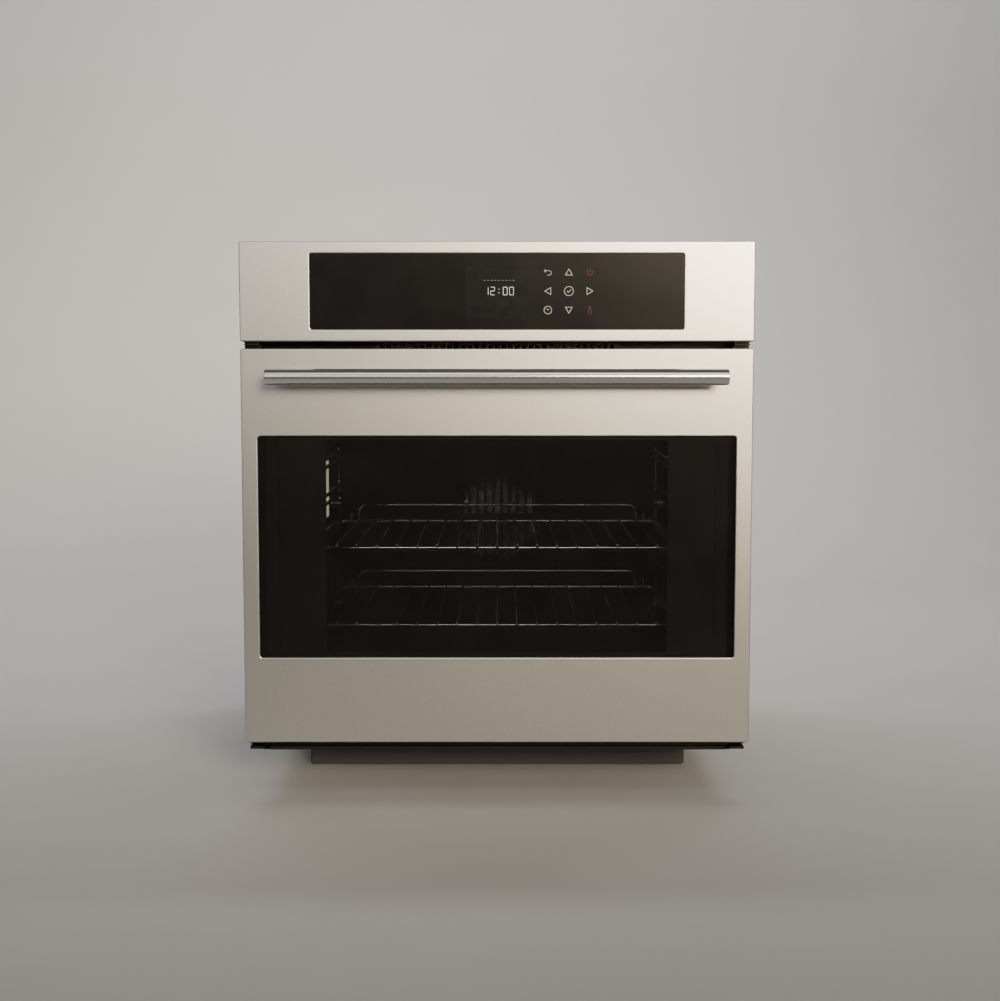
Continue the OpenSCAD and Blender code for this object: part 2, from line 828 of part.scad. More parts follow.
module hinge_arms()
    color([0.6, 0.6, 0.6]) at_front() both_sides() difference() {
        union() {
            block([hinge_x - arm_width / 2, hinge_x + arm_width / 2], [pivot_depth, arm_rear],
                  [pivot_z - arm_half_height, pivot_z + arm_half_height]);
            rod_x([hinge_x - arm_width / 2, hinge_x + arm_width / 2], pivot_depth, pivot_z,
                  boss_radius);
        }
        rod_x([hinge_x - 10, hinge_x + 10], pivot_depth, pivot_z, pin_radius + running_gap);
    }

module cheek_plate(x)
    difference() {
        union() {
            block([x, x + cheek], [2, 34], [12, 100]);
            block([x, x + cheek], [profile_front + 1.4, 34], [100, cheek_top]);
        }
        rod_x([x - cut, x + cheek + cut], pivot_depth, pivot_z, pin_radius);
    }

module hinge_channels()
    color([0.6, 0.6, 0.6]) at_front() both_sides() {
        cheek_plate(cheek_in);
        cheek_plate(cheek_out - cheek);
        block([cheek_in, cheek_out], [profile_front + 1.4, profile_front + 3.4], [31, cheek_top]);
    }

module hinge_pins()
    color([0.8, 0.8, 0.8]) at_front() both_sides() {
        rod_x([cheek_in, cheek_out], pivot_depth, pivot_z, pin_radius);
        rod_x([cheek_out, cheek_out + 1.5], pivot_depth, pivot_z, 4.5);
        rod_x([cheek_in - 1.5, cheek_in], pivot_depth, pivot_z, 4.5);
    }

// ---------------------------------------------------------------- door

module door_shell()
    difference() {
        block([-door_half, door_half], [0, door_fold], [door_bottom, door_top]);
        block([-door_half + sheet, door_half - sheet], [sheet, door_fold + cut],
              [door_bottom + sheet, door_top - sheet]);
        block([-door_half + sheet, door_half - sheet], [door_fold_low, door_fold + cut],
              [door_bottom - cut, door_bottom + sheet + cut]);
    }

module door_skin()
    color([0.75, 0.74, 0.7]) at_front() difference() {
        union() {
            door_shell();
            plate(window_width + 2 * sheet, window_height + 2 * sheet, window_corner + sheet,
                  [0, window_lip], window_mid_z);
        }
        plate(window_width, window_height, window_corner, [-cut, window_lip + cut], window_mid_z);
        both_sides() {
            block([hinge_x - 6, hinge_x + 6], [2, door_fold + cut],
                  [door_bottom - cut, door_bottom + sheet + cut]);
            rod_y(handle_post_x, [-cut, sheet + cut], handle_z, 2.5);
        }
    }

module door_front_glass()
    color([0.05, 0.05, 0.05]) at_front()
        plate(window_width + 2 * front_glass_rim, window_height + 2 * front_glass_rim,
              window_corner, [window_lip, profile_front], window_mid_z);

module door_mid_glass()
    color([0.3, 0.3, 0.3]) at_front()
        plate(486, 380, 4, [mid_glass_depth, mid_glass_depth + pane], 240);

module door_inner_glass()
    color([0.3, 0.3, 0.3]) at_front()
        plate(2 * inner_glass_half, inner_glass_z1 - inner_glass_z0, 4,
              [inner_glass_depth, inner_glass_depth + pane],
              (inner_glass_z0 + inner_glass_z1) / 2);

module glass_spacers()
    color([0.1, 0.1, 0.1]) at_front() both_sides() for (z = [62, 418]) {
        block([228, profile_in], [mid_glass_depth + pane, inner_glass_depth], [z - 8, z + 8]);
        block([243, profile_in], [mid_glass_depth - 4, mid_glass_depth + pane], [z - 8, z + 8]);
        block([228, 243], [mid_glass_depth - 4, mid_glass_depth], [z - 8, z + 8]);
    }

module door_side_profiles()
    color([0.12, 0.12, 0.12]) at_front() both_sides() {
        block([profile_in, profile_in + sheet], [profile_front, profile_rear],
              [profile_z0, profile_z1]);
        block([profile_out - sheet, profile_out], [profile_front, profile_rear],
              [profile_z0, profile_z1]);
        block([profile_in, profile_out], [profile_rear - sheet, profile_rear],
              [profile_z0, profile_z1]);
        block([profile_out, 283], [profile_front, profile_front + sheet],
              [profile_z0, profile_z1]);
        block([247, profile_in], [inner_glass_depth - sheet, inner_glass_depth],
              [80, 400]);
    }

module door_top_trim()
    color([0.12, 0.12, 0.12]) at_front() difference() {
        union() {
            block([-profile_in, profile_in], [profile_rear - sheet, profile_rear], [437, 467]);
            block([-profile_in, profile_in], [sheet, profile_rear], [466, 467.2]);
            block([-profile_in, profile_in], [sheet, 2 * sheet], [446, 466]);
        }
        for (i = [-7 : 7])
            block([i * 32 - 11, i * 32 + 11], [12, 18], [460, 470]);
        for (i = [-7 : 7])
            block([i * 32 - 11, i * 32 + 11], [24, 30], [460, 470]);
    }

module door_bottom_profile()
    color([0.12, 0.12, 0.12]) at_front() difference() {
        union() {
            block([-profile_in + 2, profile_in - 2], [sheet, 2 * sheet], [12, 60]);
            block([-profile_in + 2, profile_in - 2], [sheet, inner_glass_depth], [12, 13.2]);
            block([-profile_in + 2, profile_in - 2], [inner_glass_depth - sheet, inner_glass_depth],
                  [12, 44]);
            block([-profile_in, profile_in], [inner_glass_depth - sheet, 41], [43, 45]);
        }
        for (i = [-7 : 7])
            block([i * 30 - 10, i * 30 + 10], [14, 22], [10, 15]);
    }

module handle_bar()
    color([0.85, 0.85, 0.83]) at_front()
        rod_x([-handle_length / 2, handle_length / 2], -handle_standoff, handle_z, handle_radius);

module handle_posts()
    color([0.85, 0.85, 0.83]) at_front() both_sides() difference() {
        rod_y(handle_post_x, [-handle_standoff + 2, 0], handle_z, 7);
        rod_x([handle_post_x - 10, handle_post_x + 10], -handle_standoff, handle_z, handle_radius);
        rod_y(handle_post_x, [-15, cut], handle_z, 2.5);
    }

module handle_screws()
    color("gray") at_front() both_sides() {
        rod_y(handle_post_x, [-15, sheet], handle_z, 2.5);
        rod_y(handle_post_x, [sheet, sheet + 3], handle_z, 4.5);
    }

// ---------------------------------------------------------------- shelves

// Wire grid riding at height z: a frame bar with round front corners and the cross wires on
// top, each with a round front end
module shelf_grid(z) {
    side_from = shelf_front + shelf_corner;
    rod_x([-shelf_half + shelf_corner, shelf_half - shelf_corner], shelf_front, z, shelf_bar);
    rod_x([-shelf_half, shelf_half], shelf_rear, z, cross_bar);
    both_sides() {
        rod_y(shelf_half, [side_from, shelf_rear + 4], z, shelf_bar);
        translate([shelf_half - shelf_corner, side_from, z])
            bar_bend(shelf_corner, shelf_bar, 270, 90);
    }
    for (i = [0 : wire_count - 1]) {
        x = (i - (wire_count - 1) / 2) * wire_pitch;
        rod_y(x, [shelf_front - 2, shelf_rear - 2.2], z + wire_rise, shelf_wire);
        translate([x, shelf_front - 2, z + wire_rise])
            sphere(shelf_wire);
    }
}

// Raised stop welded on the grid's rear bar, with a short pin beside each end
module shelf_stop(z) {
    foot = z + cross_bar;
    both_sides() {
        rod_z(stop_half, shelf_rear, [foot, z + stop_height - stop_corner], shelf_wire);
        translate([stop_half - stop_corner, shelf_rear, z + stop_height - stop_corner])
            rotate([90, 0, 0])
                bar_bend(stop_corner, shelf_wire, 0, 90);
        rod_z(stop_half + 11, shelf_rear, [foot, z + 12], shelf_wire);
    }
    rod_x([-stop_half + stop_corner, stop_half - stop_corner], shelf_rear, z + stop_height,
          shelf_wire);
}

module upper_shelf_grid()
    color([0.8, 0.8, 0.8]) at_front() shelf_grid(level[upper_level]);

module upper_shelf_stop()
    color([0.8, 0.8, 0.8]) at_front() shelf_stop(level[upper_level]);

module lower_shelf_grid()
    color([0.8, 0.8, 0.8]) at_front() shelf_grid(level[lower_level]);

module lower_shelf_stop()
    color([0.8, 0.8, 0.8]) at_front() shelf_stop(level[lower_level]);

// ---------------------------------------------------------------- assembly

base_panel();
base_rails();
side_panel_left();
side_panel_right();
back_panel();
top_cover();
cooling_deck();
front_frame();
bottom_trim();
air_outlet_grille();
door_gasket();
cavity_wrapper();
cavity_back();
insulation();
side_rack_left();
side_rack_right();
side_rack_studs();
rear_fan_cover();
ring_heater();
grill_element();
bottom_element();
temperature_probe();
lamp_housing();
lamp_glass();
lamp_bulb();
convection_motor();
air_duct();
blower_housing();
blower_motor();
main_board();
terminal_block();
cable_gland();
panel_screws();
control_fascia();
control_glass();
control_housing();
display_module();
control_board();
panel_end_brackets();
hinge_receivers();
hinge_arms();
door_skin();
door_front_glass();
door_mid_glass();
door_inner_glass();
glass_spacers();
door_side_profiles();
door_top_trim();
door_bottom_profile();
handle_bar();
handle_posts();
handle_screws();
hinge_channels();
hinge_pins();
upper_shelf_grid();
upper_shelf_stop();
lower_shelf_grid();
lower_shelf_stop();
convection_fan();
blower_wheel();
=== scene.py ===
"""Looks for the built-in wall oven: bevelled steel faces, panes, printed marks and materials."""

import math

import bmesh
import bpy
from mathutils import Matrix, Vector


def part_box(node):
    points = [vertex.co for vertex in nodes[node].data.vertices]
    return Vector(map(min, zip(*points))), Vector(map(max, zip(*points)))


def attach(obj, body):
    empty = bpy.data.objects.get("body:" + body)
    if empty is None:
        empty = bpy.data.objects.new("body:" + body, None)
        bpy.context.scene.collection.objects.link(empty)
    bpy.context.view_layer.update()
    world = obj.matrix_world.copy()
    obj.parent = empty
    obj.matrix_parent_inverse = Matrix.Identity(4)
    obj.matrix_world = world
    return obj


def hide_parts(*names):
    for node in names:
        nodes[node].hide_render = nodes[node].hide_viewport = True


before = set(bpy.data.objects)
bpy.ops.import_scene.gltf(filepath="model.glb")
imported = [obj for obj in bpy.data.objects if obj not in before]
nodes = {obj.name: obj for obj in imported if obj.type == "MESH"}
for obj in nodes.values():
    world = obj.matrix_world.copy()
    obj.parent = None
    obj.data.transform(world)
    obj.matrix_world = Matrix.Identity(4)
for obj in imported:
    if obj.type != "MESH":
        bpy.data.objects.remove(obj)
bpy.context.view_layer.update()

MM = 0.001
FRONT_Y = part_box("door_skin")[0][1]
SHARP_ANGLE = math.radians(35)


# ---------------------------------------------------------------- places and meshes


def at(x, d, z):
    """A point in metres from millimetres across, behind the front plane and up."""
    return Vector((x * MM, FRONT_Y + d * MM, z * MM))


def box_mm(node):
    """A node's lowest and highest corners as (across, depth, height) in millimetres."""
    low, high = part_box(node)
    shift = Vector((0, FRONT_Y, 0))
    return (Vector(low) - shift) / MM, (Vector(high) - shift) / MM


def add_mesh(name, points, faces, body, material, smooth=True):
    """Makes a mesh piece that rides on a body."""
    mesh = bpy.data.meshes.new(name)
    mesh.from_pydata([tuple(p) for p in points], [], faces)
    mesh.validate()
    work = bmesh.new()
    work.from_mesh(mesh)
    bmesh.ops.recalc_face_normals(work, faces=work.faces)
    work.to_mesh(mesh)
    work.free()
    if smooth:
        mesh.polygons.foreach_set("use_smooth", [True] * len(mesh.polygons))
        mesh.set_sharp_from_angle(angle=SHARP_ANGLE)
    mesh.materials.append(material)
    piece = bpy.data.objects.new(name, mesh)
    bpy.context.scene.collection.objects.link(piece)
    if smooth:
        weighted = piece.modifiers.new("weighted_normals", "WEIGHTED_NORMAL")
        weighted.keep_sharp = True
    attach(piece, body)
    return piece


def rect_loop(half, z0, z1, r, steps, bottom_x=()):
    """Points (x, z) round a rounded rectangle, from the bottom's left end, anticlockwise."""
    points = [(x, z0) for x in bottom_x]
    corners = (
        (half - r, z0 + r, -90),
        (half - r, z1 - r, 0),
        (-half + r, z1 - r, 90),
        (-half + r, z0 + r, 180),
    )
    for cx, cz, start in corners:
        for i in range(steps + 1):
            a = math.radians(start + 90 * i / steps)
            points.append((cx + r * math.cos(a), cz + r * math.sin(a)))
    return points


def loops_to_mesh(loops, closed):
    """Quads between neighbouring loops of equal length, and back to the first if closed."""
    count = len(loops[0])
    points = [p for loop in loops for p in loop]
    faces = []
    last = len(loops) if closed else len(loops) - 1
    for k in range(last):
        a, b = k * count, ((k + 1) % len(loops)) * count
        for i in range(count):
            j = (i + 1) % count
            faces.append((a + i, a + j, b + j, b + i))
    return points, faces


def lathe_x(profile, centre_d, centre_z, sides):
    """A closed turned shape along X from (x, radius) pairs, all in millimetres."""
    points, faces = [], []
    for x, r in profile:
        for i in range(sides):
            a = 2 * math.pi * i / sides
            points.append(at(x, centre_d + r * math.cos(a), centre_z + r * math.sin(a)))
    for k in range(len(profile) - 1):
        for i in range(sides):
            j = (i + 1) % sides
            faces.append((k * sides + i, k * sides + j, (k + 1) * sides + j, (k + 1) * sides + i))
    faces.append(tuple(range(sides)))
    faces.append(tuple(range((len(profile) - 1) * sides, len(profile) * sides)))
    return points, faces


# ---------------------------------------------------------------- materials


def new_material(name, colour, metallic=0.0, roughness=0.5, specular=0.5, coat=0.0, alpha=1.0):
    """A plain surface with its own sockets set, ready for grain."""
    material = bpy.data.materials.new(name)
    material.use_nodes = True
    shader = material.node_tree.nodes["Principled BSDF"]
    shader.inputs["Base Color"].default_value = (*colour, 1)
    shader.inputs["Metallic"].default_value = metallic
    shader.inputs["Roughness"].default_value = roughness
    shader.inputs["Specular IOR Level"].default_value = specular
    shader.inputs["Coat Weight"].default_value = coat
    shader.inputs["Coat Roughness"].default_value = 0.08
    shader.inputs["Alpha"].default_value = alpha
    return material


def grain(material, scale, stretch, colour_spread, rough_spread, bump, detail=4.0):
    """Fine noise on the colour, roughness and surface, stretched along the axes."""
    tree = material.node_tree
    shader = tree.nodes["Principled BSDF"]
    colour = tuple(shader.inputs["Base Color"].default_value)[:3]
    rough = shader.inputs["Roughness"].default_value
    coords = tree.nodes.new("ShaderNodeTexCoord")
    mapping = tree.nodes.new("ShaderNodeMapping")
    mapping.inputs["Scale"].default_value = stretch
    noise = tree.nodes.new("ShaderNodeTexNoise")
    noise.inputs["Scale"].default_value = scale
    noise.inputs["Detail"].default_value = detail
    tree.links.new(coords.outputs["Object"], mapping.inputs["Vector"])
    tree.links.new(mapping.outputs["Vector"], noise.inputs["Vector"])
    ramp = tree.nodes.new("ShaderNodeValToRGB")
    low = [max(0.0, c * (1 - colour_spread)) for c in colour]
    high = [min(1.0, c * (1 + colour_spread)) for c in colour]
    ramp.color_ramp.elements[0].position = 0.3
    ramp.color_ramp.elements[0].color = (*low, 1)
    ramp.color_ramp.elements[1].position = 0.7
    ramp.color_ramp.elements[1].color = (*high, 1)
    tree.links.new(noise.outputs["Fac"], ramp.inputs["Fac"])
    tree.links.new(ramp.outputs["Color"], shader.inputs["Base Color"])
    spread = tree.nodes.new("ShaderNodeMapRange")
    spread.inputs["From Min"].default_value = 0.3
    spread.inputs["From Max"].default_value = 0.7
    spread.inputs["To Min"].default_value = max(0.02, rough - rough_spread)
    spread.inputs["To Max"].default_value = min(1.0, rough + rough_spread)
    tree.links.new(noise.outputs["Fac"], spread.inputs["Value"])
    tree.links.new(spread.outputs["Result"], shader.inputs["Roughness"])
    if bump > 0:
        relief = tree.nodes.new("ShaderNodeBump")
        relief.inputs["Strength"].default_value = 0.5
        relief.inputs["Distance"].default_value = bump
        tree.links.new(noise.outputs["Fac"], relief.inputs["Height"])
        tree.links.new(relief.outputs["Normal"], shader.inputs["Normal"])
    return material


def glowing(material, colour, strength):
    """Adds a constant glow to a material."""
    shader = material.node_tree.nodes["Principled BSDF"]
    shader.inputs["Emission Color"].default_value = (*colour, 1)
    shader.inputs["Emission Strength"].default_value = strength
    return material


EVEN = (1, 1, 1)

front_steel = grain(
    new_material("front_steel", (0.62, 0.605, 0.57), 1.0, 0.3), 760, EVEN, 0.09, 0.025, 4e-6
)
handle_steel = grain(
    new_material("handle_steel", (0.78, 0.77, 0.75), 1.0, 0.16), 700, (6, 1, 1), 0.03, 0.04, 2e-6
)
galvanised = grain(
    new_material("galvanised", (0.52, 0.53, 0.54), 1.0, 0.42), 60, EVEN, 0.07, 0.035, 2e-5, 6.0
)
black_enamel = grain(
    new_material("black_enamel", (0.01, 0.01, 0.01), 0.0, 0.4, 0.22), 700, EVEN, 0.2, 0.08, 2e-5
)
cavity_enamel = grain(
    new_material("cavity_enamel", (0.028, 0.029, 0.031), 0.0, 0.22, 0.5, 0.2),
    700, EVEN, 0.2, 0.05, 1e-5, 3.0,
)
wire_chrome = grain(
    new_material("wire_chrome", (0.72, 0.71, 0.69), 1.0, 0.14), 400, EVEN, 0.05, 0.06, 6e-6
)
zinc = grain(new_material("zinc", (0.6, 0.6, 0.59), 1.0, 0.3), 500, EVEN, 0.08, 0.08, 8e-6)
black_glass = grain(
    new_material("black_glass", (0.006, 0.0063, 0.0068), 0.0, 0.24, 0.12, 0.0),
    30, EVEN, 0.15, 0.015, 0
)
print_black = grain(
    new_material("print_black", (0.0065, 0.0065, 0.0075), 0.0, 0.22, 0.2), 260, EVEN, 0.05, 0.01, 0
)
front_pane = grain(
    new_material("front_pane", (0.018, 0.018, 0.018), 0.0, 0.05, 0.5, 0.0, 0.2),
    25, EVEN, 0.2, 0.01, 0
)
inner_pane = grain(
    new_material("inner_pane", (0.015, 0.016, 0.016), 0.0, 0.05, 0.3, 0.0, 0.03),
    25, EVEN, 0.2, 0.01, 0
)
gasket_braid = grain(
    new_material("gasket_braid", (0.03, 0.03, 0.03), 0.0, 0.75), 900, EVEN, 0.4, 0.1, 2e-4
)
mineral_wool = grain(
    new_material("mineral_wool", (0.62, 0.56, 0.36), 0.0, 0.95), 120, EVEN, 0.35, 0.04, 1e-3, 10.0
)
heater_tube = grain(
    new_material("heater_tube", (0.09, 0.08, 0.072), 0.6, 0.5), 260, EVEN, 0.35, 0.12, 3e-5
)
motor_steel = grain(
    new_material("motor_steel", (0.25, 0.25, 0.26), 0.8, 0.45), 300, (1, 6, 1), 0.2, 0.1, 5e-5
)
black_plastic = grain(
    new_material("black_plastic", (0.018, 0.018, 0.018), 0.0, 0.5), 1100, EVEN, 0.15, 0.08, 3e-5
)
white_plastic = grain(
    new_material("white_plastic", (0.72, 0.71, 0.66), 0.0, 0.45), 500, EVEN, 0.05, 0.06, 1e-5
)
green_board = grain(
    new_material("green_board", (0.012, 0.11, 0.045), 0.0, 0.3), 220, EVEN, 0.4, 0.1, 2e-5
)
aluminium = grain(
    new_material("aluminium", (0.7, 0.7, 0.71), 1.0, 0.32), 300, (1, 1, 6), 0.06, 0.1, 1e-5
)
lens = glowing(
    grain(
        new_material("lens", (0.8, 0.76, 0.62), 0.0, 0.35, 0.5, 0.0, 0.8),
        300, EVEN, 0.06, 0.08, 2e-5
    ),
    (1.0, 0.82, 0.56), 0.5
)
bulb_glass = glowing(
    grain(new_material("bulb_glass", (0.85, 0.8, 0.66), 0.0, 0.2), 200, EVEN, 0.05, 0.05, 0),
    (1.0, 0.84, 0.55), 4.0
)
display_black = grain(
    new_material("display_black", (0.011, 0.0115, 0.012), 0.0, 0.12), 90, EVEN, 0.1, 0.02, 0
)
mark_white = glowing(
    grain(new_material("mark_white", (0.6, 0.6, 0.58), 0.0, 0.5), 300, EVEN, 0.04, 0.05, 0),
    (1.0, 0.98, 0.92), 0.22
)
mark_grey = glowing(
    grain(new_material("mark_grey", (0.16, 0.16, 0.155), 0.0, 0.5), 300, EVEN, 0.04, 0.05, 0),
    (1.0, 0.98, 0.92), 0.05
)
mark_red = glowing(
    grain(new_material("mark_red", (0.14, 0.008, 0.006), 0.0, 0.5), 300, EVEN, 0.04, 0.05, 0),
    (1.0, 0.03, 0.02), 0.03
)

LOOKS = {
    galvanised: (
        "base_panel", "base_rails", "side_panel_left", "side_panel_right", "back_panel",
        "top_cover", "cooling_deck", "lamp_housing", "air_duct", "blower_housing",
        "hinge_receivers", "hinge_channels",
    ),
    black_enamel: (
        "front_frame", "bottom_trim", "door_top_trim", "door_bottom_profile",
        "panel_end_brackets", "panel_screws",
    ),
    black_plastic: ("air_outlet_grille", "cable_gland", "control_housing", "blower_wheel"),
    print_black: ("door_side_profiles",),
    gasket_braid: ("door_gasket", "glass_spacers"),
    cavity_enamel: ("cavity_wrapper", "cavity_back", "rear_fan_cover"),
    mineral_wool: ("insulation",),
    wire_chrome: (
        "side_rack_left", "side_rack_right", "temperature_probe", "upper_shelf_grid",
        "upper_shelf_stop", "lower_shelf_grid", "lower_shelf_stop",
    ),
    zinc: (
        "side_rack_studs", "hinge_arms", "handle_screws", "hinge_pins",
    ),
    heater_tube: ("ring_heater", "grill_element", "bottom_element"),
    lens: ("lamp_glass",),
    bulb_glass: ("lamp_bulb",),
    motor_steel: ("convection_motor", "blower_motor"),
    green_board: ("main_board", "control_board"),
    white_plastic: ("terminal_block",),
    black_glass: ("control_glass",),
    display_black: ("display_module",),
    front_pane: ("door_front_glass",),
    inner_pane: ("door_mid_glass", "door_inner_glass"),
    handle_steel: ("handle_posts",),
    aluminium: ("convection_fan",),
}

for look, names in LOOKS.items():
    for name in names:
        data = nodes[name].data
        data.materials.clear()
        data.materials.append(look)


# ---------------------------------------------------------------- folded steel faces


SHEET = 1.2
EDGE = 1.5
FOLD_GAP = 0.6


def steel_face(name, replaced, outer, opening, lip, body, fold_of, bottom_x=()):
    """A folded sheet with rounded outer edges and a rolled edge round its opening.

    outer and opening are (half width, z0, z1, corner radius); lip is the rolled edge's depth and
    fold_of gives the depth of the folded outer edge at a point.
    """
    half, z0, z1, r = outer
    o_half, o_z0, o_z1, o_r = opening
    steps = 6
    turns = 5

    def outer_ring(inset, depth):
        ring = rect_loop(half - inset, z0 + inset, z1 - inset, max(r - inset, 0.2), steps, bottom_x)
        if depth is None:
            return [at(x, fold_of(x, z, i), z) for i, (x, z) in enumerate(ring)]
        return [at(x, depth, z) for x, z in ring]

    def inner_ring(grow, depth):
        ring = rect_loop(
            o_half + grow, o_z0 - grow, o_z1 + grow, o_r + grow, steps, bottom_x
        )
        return [at(x, depth, z) for x, z in ring]

    rings = [outer_ring(0, None)]
    for k in range(turns + 1):
        t = math.radians(90 * k / turns)
        rings.append(outer_ring(EDGE * (1 - math.cos(t)), EDGE * (1 - math.sin(t))))
    for k in range(turns + 1):
        t = math.radians(90 * k / turns)
        rings.append(inner_ring(EDGE * (1 - math.sin(t)), EDGE * (1 - math.cos(t))))
    rings.append(inner_ring(0, lip))
    rings.append(inner_ring(SHEET, lip))
    rings.append(inner_ring(SHEET, SHEET + FOLD_GAP))
    rings.append(inner_ring(SHEET + FOLD_GAP, SHEET))
    rings.append(outer_ring(SHEET + FOLD_GAP, SHEET))
    rings.append(outer_ring(SHEET, SHEET + FOLD_GAP))
    rings.append(outer_ring(SHEET, None))
    points, faces = loops_to_mesh(rings, True)
    piece = add_mesh(name, points, faces, body, front_steel)
    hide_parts(replaced)


CORNER = 2.2
door_low, door_high = box_mm("door_skin")
glass_low, glass_high = box_mm("door_front_glass")
RIM = 3
window = (glass_high.x - RIM, glass_low.z + RIM, glass_high.z - RIM, 3)

arm_low, arm_high = box_mm("hinge_arms")
NOTCH_IN = arm_high.x - 9
NOTCH_OUT = arm_high.x + 3
NOTCH_DEPTH = 2.2
BOTTOM_FOLD = 13
DOOR_LIP = 3
NOTCH_XS = tuple(
    s * x
    for s, xs in ((-1, (NOTCH_OUT + 0.1, NOTCH_OUT, NOTCH_IN, NOTCH_IN - 0.1)),
                  (1, (NOTCH_IN - 0.1, NOTCH_IN, NOTCH_OUT, NOTCH_OUT + 0.1)))
    for x in xs
)


def door_fold(x, z, index):
    """Depth of the door skin's folded edge, shorter and notched for the hinges at the bottom."""
    if index < len(NOTCH_XS):
        return NOTCH_DEPTH if NOTCH_IN <= abs(x) <= NOTCH_OUT else BOTTOM_FOLD
    if z < door_low.z + EDGE:
        return BOTTOM_FOLD
    return door_high.y


steel_face(
    "door_face", "door_skin",
    (door_high.x, door_low.z, door_high.z, CORNER), window,
    DOOR_LIP, "door", door_fold, NOTCH_XS,
)

panel_low, panel_high = box_mm("control_fascia")
cg_low, cg_high = box_mm("control_glass")
PANEL_RIM = 2
steel_face(
    "panel_face", "control_fascia",
    (panel_high.x, panel_low.z, panel_high.z, CORNER),
    (cg_high.x - PANEL_RIM, cg_low.z + PANEL_RIM, cg_high.z - PANEL_RIM, 2.5),
    cg_low.y, "oven", lambda x, z, i: panel_high.y,
)

bar_low, bar_high = box_mm("handle_bar")
bar_r = (bar_high.z - bar_low.z) / 2
bar_x = bar_high.x
bar_profile = [(-bar_x, bar_r - 0.9), (-bar_x + 0.25, bar_r - 0.35), (-bar_x + 0.8, bar_r)]
bar_profile += [(x, bar_r) for x in range(-200, 201, 100)]
bar_profile += [(bar_x - 0.8, bar_r), (bar_x - 0.25, bar_r - 0.35), (bar_x, bar_r - 0.9)]
points, faces = lathe_x(
    bar_profile, (bar_low.y + bar_high.y) / 2, (bar_low.z + bar_high.z) / 2, 96
)
handle_tube = add_mesh("handle_tube", points, faces, "door", handle_steel)
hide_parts("handle_bar")


# ---------------------------------------------------------------- printed borders


PRINT = 0.12
PRINT_GAP = 0.03


def border(name, outer, opening, depth):
    """A thin printed border on a door pane, between two rounded rectangles."""
    rings = []
    for half, z0, z1, r in (outer, opening):
        rings.append([at(x, depth, z) for x, z in rect_loop(half, z0, z1, r, 5)])
    for half, z0, z1, r in (opening, outer):
        rings.append([at(x, depth + PRINT, z) for x, z in rect_loop(half, z0, z1, r, 5)])
    points, faces = loops_to_mesh(rings, True)
    piece = add_mesh(name, points, faces, "door", print_black, smooth=False)


border(
    "front_pane_border",
    (glass_high.x - 0.5, glass_low.z + 0.5, glass_high.z - 0.5, 3),
    (200, glass_low.z + 8, glass_high.z - 8, 4),
    glass_high.y + PRINT_GAP,
)
in_low, in_high = box_mm("door_inner_glass")
border(
    "inner_pane_border",
    (in_high.x - 0.5, in_low.z + 0.5, in_high.z - 0.5, 3),
    (207, in_low.z + 38, in_high.z - 38, 6),
    in_low.y - PRINT - PRINT_GAP,
)


# ---------------------------------------------------------------- touch marks and clock


def stroke(path, width, closed=False):
    """Flat outline of a line of even width along (x, z) points: left and right edges."""
    count = len(path)
    left, right = [], []
    for i in range(count):
        here = Vector(path[i])
        before = Vector(path[i - 1]) if closed or i > 0 else None
        after = Vector(path[(i + 1) % count]) if closed or i < count - 1 else None
        dirs = []
        if before is not None:
            dirs.append((here - before).normalized())
        if after is not None:
            dirs.append((after - here).normalized())
        way = sum(dirs, Vector((0, 0))).normalized()
        side = Vector((-way.y, way.x))
        reach = width / 2
        if len(dirs) == 2:
            reach /= max(0.35, side.dot(Vector((-dirs[0].y, dirs[0].x))))
        left.append(here + side * reach)
        right.append(here - side * reach)
    return left, right


MARK_THICK = 0.05


def marks(name, strokes, depth, material):
    """A printed piece made of several strokes, raised a few hundredths of a millimetre."""
    points, faces = [], []
    for path, width, closed in strokes:
        left, right = stroke(path, width, closed)
        base = len(points)
        count = len(left)
        for layer in (depth - MARK_THICK, depth):
            points += [at(p.x, layer, p.y) for p in left]
            points += [at(p.x, layer, p.y) for p in right]
        rows = count if closed else count - 1
        for i in range(rows):
            j = (i + 1) % count
            a, b = base + i, base + j
            c, d = a + count, b + count
            up = 2 * count
            faces.append((a, b, d, c))
            faces.append((a + up, c + up, d + up, b + up))
            faces.append((a, a + up, b + up, b))
            faces.append((c, d, d + up, c + up))
        if not closed:
            for i in (0, count - 1):
                a = base + i
                faces.append((a, a + count, a + 3 * count, a + 2 * count))
    piece = add_mesh(name, points, faces, "oven", material, smooth=False)


def circle(cx, cz, r, count=40):
    return [
        (cx + r * math.cos(2 * math.pi * i / count), cz + r * math.sin(2 * math.pi * i / count))
        for i in range(count)
    ]


def arc(cx, cz, r, start, end, count=14):
    return [
        (
            cx + r * math.cos(math.radians(start + (end - start) * i / count)),
            cz + r * math.sin(math.radians(start + (end - start) * i / count)),
        )
        for i in range(count + 1)
    ]


LINE = 0.42
COLUMNS = (58.8, 83.0, 107.2)
ROWS = (559.6, 537.9, 516.1)
FACE = cg_low.y


def triangle(cx, cz, turn):
    shape = [(-4, -3.3), (4, -3.3), (0, 3.6)]
    c, s = math.cos(math.radians(turn)), math.sin(math.radians(turn))
    return [(cx + c * x - s * z, cz + s * x + c * z) for x, z in shape]


